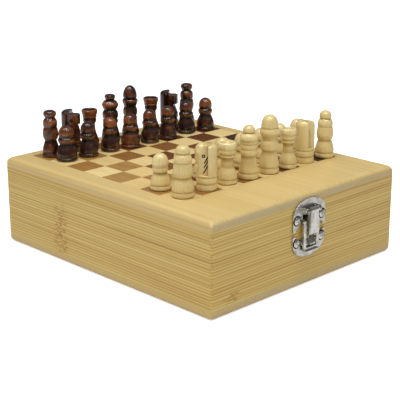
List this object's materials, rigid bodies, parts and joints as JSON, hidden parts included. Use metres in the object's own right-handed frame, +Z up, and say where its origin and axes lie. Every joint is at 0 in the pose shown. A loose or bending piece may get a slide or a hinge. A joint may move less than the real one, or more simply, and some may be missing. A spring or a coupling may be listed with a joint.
{
  "type": "chess box with hinged lid",
  "caption": "Small bamboo box whose hinged lid is an inlaid chess board, with a metal hasp clasp on the front, a tray inside and a set of turned chess pieces set up on top.",
  "frame": {"origin": "middle of the underside of the box, on the surface that it stands on", "axes": "+Z up, +X to the right along the clasp side, +Y from the clasp side to the hinge side"},
  "size_m": [0.141, 0.1684, 0.0811],
  "materials": {
    "bamboo_panel": "clear satin lacquer on laminated bamboo",
    "bamboo_wall": "clear satin lacquer on laminated bamboo",
    "light_inlay": "clear satin lacquer on bamboo",
    "dark_inlay": "brown stain under clear satin lacquer",
    "boxwood": "turned and lacquered, semi-gloss",
    "stained_wood": "turned, stained dark brown and lacquered, gloss",
    "clasp_nickel": "bright nickel plate on stamped steel",
    "hinge_brass": "brass plated steel",
    "hinge_steel": "plain wire"
  },
  "bodies": {
    "base": {"base_bottom_panel": "bamboo_panel", "base_front_wall": "bamboo_wall", "base_back_wall": "bamboo_wall", "base_left_wall": "bamboo_wall", "base_right_wall": "bamboo_wall", "piece_tray": "bamboo_wall", "hinge_left_base_leaf": "hinge_brass", "hinge_left_pin": "hinge_steel", "hinge_right_base_leaf": "hinge_brass", "hinge_right_pin": "hinge_steel", "hinge_base_screws": "hinge_brass", "clasp_lower_plate": "clasp_nickel", "clasp_lower_screws": "clasp_nickel"},
    "lid": {"lid_top_panel": "bamboo_panel", "lid_front_rail": "bamboo_wall", "lid_back_rail": "bamboo_wall", "lid_left_rail": "bamboo_wall", "lid_right_rail": "bamboo_wall", "light_squares": "light_inlay", "dark_squares": "dark_inlay", "hinge_left_lid_leaf": "hinge_brass", "hinge_right_lid_leaf": "hinge_brass", "hinge_lid_screws": "hinge_brass", "clasp_upper_plate": "clasp_nickel", "clasp_pin": "clasp_nickel", "clasp_upper_screws": "clasp_nickel"},
    "hasp": {"clasp_hasp": "clasp_nickel"},
    "light_pawn_1": {"light_pawn_1": "boxwood"},
    "light_pawn_2": {"light_pawn_2": "boxwood"},
    "light_pawn_3": {"light_pawn_3": "boxwood"},
    "light_pawn_4": {"light_pawn_4": "boxwood"},
    "light_pawn_5": {"light_pawn_5": "boxwood"},
    "light_pawn_6": {"light_pawn_6": "boxwood"},
    "light_pawn_7": {"light_pawn_7": "boxwood"},
    "light_pawn_8": {"light_pawn_8": "boxwood"},
    "dark_pawn_1": {"dark_pawn_1": "stained_wood"},
    "dark_pawn_2": {"dark_pawn_2": "stained_wood"},
    "dark_pawn_3": {"dark_pawn_3": "stained_wood"},
    "dark_pawn_4": {"dark_pawn_4": "stained_wood"},
    "dark_pawn_5": {"dark_pawn_5": "stained_wood"},
    "dark_pawn_6": {"dark_pawn_6": "stained_wood"},
    "dark_pawn_7": {"dark_pawn_7": "stained_wood"},
    "dark_pawn_8": {"dark_pawn_8": "stained_wood"},
    "light_bishop_left": {"light_bishop_left": "boxwood"},
    "light_knight_left": {"light_knight_left": "boxwood"},
    "light_rook_left": {"light_rook_left": "boxwood"},
    "light_queen": {"light_queen": "boxwood"},
    "light_king": {"light_king": "boxwood"},
    "light_rook_right": {"light_rook_right": "boxwood"},
    "light_knight_right": {"light_knight_right": "boxwood"},
    "light_bishop_right": {"light_bishop_right": "boxwood"},
    "dark_bishop_left": {"dark_bishop_left": "stained_wood"},
    "dark_knight_left": {"dark_knight_left": "stained_wood"},
    "dark_rook_left": {"dark_rook_left": "stained_wood"},
    "dark_queen": {"dark_queen": "stained_wood"},
    "dark_king": {"dark_king": "stained_wood"},
    "dark_rook_right": {"dark_rook_right": "stained_wood"},
    "dark_knight_right": {"dark_knight_right": "stained_wood"},
    "dark_bishop_right": {"dark_bishop_right": "stained_wood"}
  },
  "joints": [
    {"name": "box_lid_hinge", "type": "hinge", "parent": "base", "child": "lid", "pos_m": [0, 0.0803, 0.0295], "axis": [-1, 0, 0], "range_deg": [0, 100]},
    {"name": "clasp_hasp_hinge", "type": "hinge", "parent": "lid", "child": "hasp", "pos_m": [-0.0012, -0.0844, 0.0411], "axis": [-1, 0, 0], "range_deg": [0, 110]},
    {"name": "lift_light_pawn_1", "type": "slide", "parent": "lid", "child": "light_pawn_1", "axis": [0, 0, 1], "range_m": [0, 0.04]},
    {"name": "lift_light_pawn_2", "type": "slide", "parent": "lid", "child": "light_pawn_2", "axis": [0, 0, 1], "range_m": [0, 0.04]},
    {"name": "lift_light_pawn_3", "type": "slide", "parent": "lid", "child": "light_pawn_3", "axis": [0, 0, 1], "range_m": [0, 0.04]},
    {"name": "lift_light_pawn_4", "type": "slide", "parent": "lid", "child": "light_pawn_4", "axis": [0, 0, 1], "range_m": [0, 0.04]},
    {"name": "lift_light_pawn_5", "type": "slide", "parent": "lid", "child": "light_pawn_5", "axis": [0, 0, 1], "range_m": [0, 0.04]},
    {"name": "lift_light_pawn_6", "type": "slide", "parent": "lid", "child": "light_pawn_6", "axis": [0, 0, 1], "range_m": [0, 0.04]},
    {"name": "lift_light_pawn_7", "type": "slide", "parent": "lid", "child": "light_pawn_7", "axis": [0, 0, 1], "range_m": [0, 0.04]},
    {"name": "lift_light_pawn_8", "type": "slide", "parent": "lid", "child": "light_pawn_8", "axis": [0, 0, 1], "range_m": [0, 0.04]},
    {"name": "lift_dark_pawn_1", "type": "slide", "parent": "lid", "child": "dark_pawn_1", "axis": [0, 0, 1], "range_m": [0, 0.04]},
    {"name": "lift_dark_pawn_2", "type": "slide", "parent": "lid", "child": "dark_pawn_2", "axis": [0, 0, 1], "range_m": [0, 0.04]},
    {"name": "lift_dark_pawn_3", "type": "slide", "parent": "lid", "child": "dark_pawn_3", "axis": [0, 0, 1], "range_m": [0, 0.04]},
    {"name": "lift_dark_pawn_4", "type": "slide", "parent": "lid", "child": "dark_pawn_4", "axis": [0, 0, 1], "range_m": [0, 0.04]},
    {"name": "lift_dark_pawn_5", "type": "slide", "parent": "lid", "child": "dark_pawn_5", "axis": [0, 0, 1], "range_m": [0, 0.04]},
    {"name": "lift_dark_pawn_6", "type": "slide", "parent": "lid", "child": "dark_pawn_6", "axis": [0, 0, 1], "range_m": [0, 0.04]},
    {"name": "lift_dark_pawn_7", "type": "slide", "parent": "lid", "child": "dark_pawn_7", "axis": [0, 0, 1], "range_m": [0, 0.04]},
    {"name": "lift_dark_pawn_8", "type": "slide", "parent": "lid", "child": "dark_pawn_8", "axis": [0, 0, 1], "range_m": [0, 0.04]},
    {"name": "lift_light_bishop_left", "type": "slide", "parent": "lid", "child": "light_bishop_left", "axis": [0, 0, 1], "range_m": [0, 0.04]},
    {"name": "lift_light_knight_left", "type": "slide", "parent": "lid", "child": "light_knight_left", "axis": [0, 0, 1], "range_m": [0, 0.04]},
    {"name": "lift_light_rook_left", "type": "slide", "parent": "lid", "child": "light_rook_left", "axis": [0, 0, 1], "range_m": [0, 0.04]},
    {"name": "lift_light_queen", "type": "slide", "parent": "lid", "child": "light_queen", "axis": [0, 0, 1], "range_m": [0, 0.04]},
    {"name": "lift_light_king", "type": "slide", "parent": "lid", "child": "light_king", "axis": [0, 0, 1], "range_m": [0, 0.04]},
    {"name": "lift_light_rook_right", "type": "slide", "parent": "lid", "child": "light_rook_right", "axis": [0, 0, 1], "range_m": [0, 0.04]},
    {"name": "lift_light_knight_right", "type": "slide", "parent": "lid", "child": "light_knight_right", "axis": [0, 0, 1], "range_m": [0, 0.04]},
    {"name": "lift_light_bishop_right", "type": "slide", "parent": "lid", "child": "light_bishop_right", "axis": [0, 0, 1], "range_m": [0, 0.04]},
    {"name": "lift_dark_bishop_left", "type": "slide", "parent": "lid", "child": "dark_bishop_left", "axis": [0, 0, 1], "range_m": [0, 0.04]},
    {"name": "lift_dark_knight_left", "type": "slide", "parent": "lid", "child": "dark_knight_left", "axis": [0, 0, 1], "range_m": [0, 0.04]},
    {"name": "lift_dark_rook_left", "type": "slide", "parent": "lid", "child": "dark_rook_left", "axis": [0, 0, 1], "range_m": [0, 0.04]},
    {"name": "lift_dark_queen", "type": "slide", "parent": "lid", "child": "dark_queen", "axis": [0, 0, 1], "range_m": [0, 0.04]},
    {"name": "lift_dark_king", "type": "slide", "parent": "lid", "child": "dark_king", "axis": [0, 0, 1], "range_m": [0, 0.04]},
    {"name": "lift_dark_rook_right", "type": "slide", "parent": "lid", "child": "dark_rook_right", "axis": [0, 0, 1], "range_m": [0, 0.04]},
    {"name": "lift_dark_knight_right", "type": "slide", "parent": "lid", "child": "dark_knight_right", "axis": [0, 0, 1], "range_m": [0, 0.04]},
    {"name": "lift_dark_bishop_right", "type": "slide", "parent": "lid", "child": "dark_bishop_right", "axis": [0, 0, 1], "range_m": [0, 0.04]}
  ]
}
